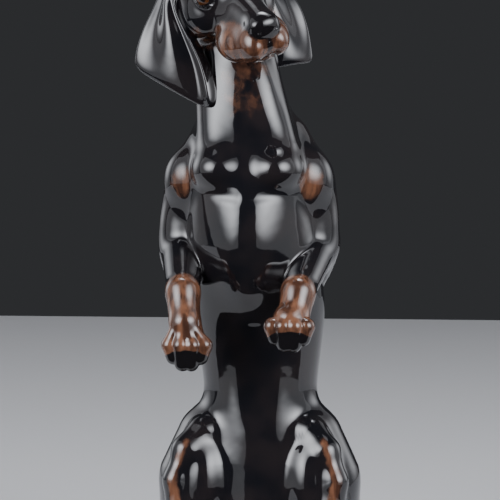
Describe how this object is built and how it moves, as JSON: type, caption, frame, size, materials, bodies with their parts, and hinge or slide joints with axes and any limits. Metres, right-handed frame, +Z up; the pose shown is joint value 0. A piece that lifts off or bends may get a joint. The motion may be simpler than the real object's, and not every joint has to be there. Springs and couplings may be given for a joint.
{
  "type": "dog figurine",
  "caption": "Hollow glazed porcelain figurine of a smooth-haired dachshund sitting up and begging, with hanging front paws, on a flat underside.",
  "frame": {"origin": "middle of the flat underside, on the surface that the figurine stands on", "axes": "+Z up along the dog's spine, -Y the way its chest and belly face, +X towards the dog's own left"},
  "size_m": [0.0705, 0.0946, 0.1952],
  "materials": {
    "black_glaze": "high-gloss clear glaze over black underglaze with tan markings",
    "tan_glaze": "high-gloss clear glaze over tan underglaze with dark brushed toes",
    "bisque": "bare matt fired porcelain"
  },
  "bodies": {
    "root": {"torso": "black_glaze", "head": "black_glaze", "left_ear": "black_glaze", "right_ear": "black_glaze", "left_foreleg": "black_glaze", "right_foreleg": "black_glaze", "left_haunch": "black_glaze", "right_haunch": "black_glaze", "left_hind_foot": "tan_glaze", "right_hind_foot": "tan_glaze", "tail": "black_glaze", "base_disc": "bisque"}
  },
  "joints": []
}
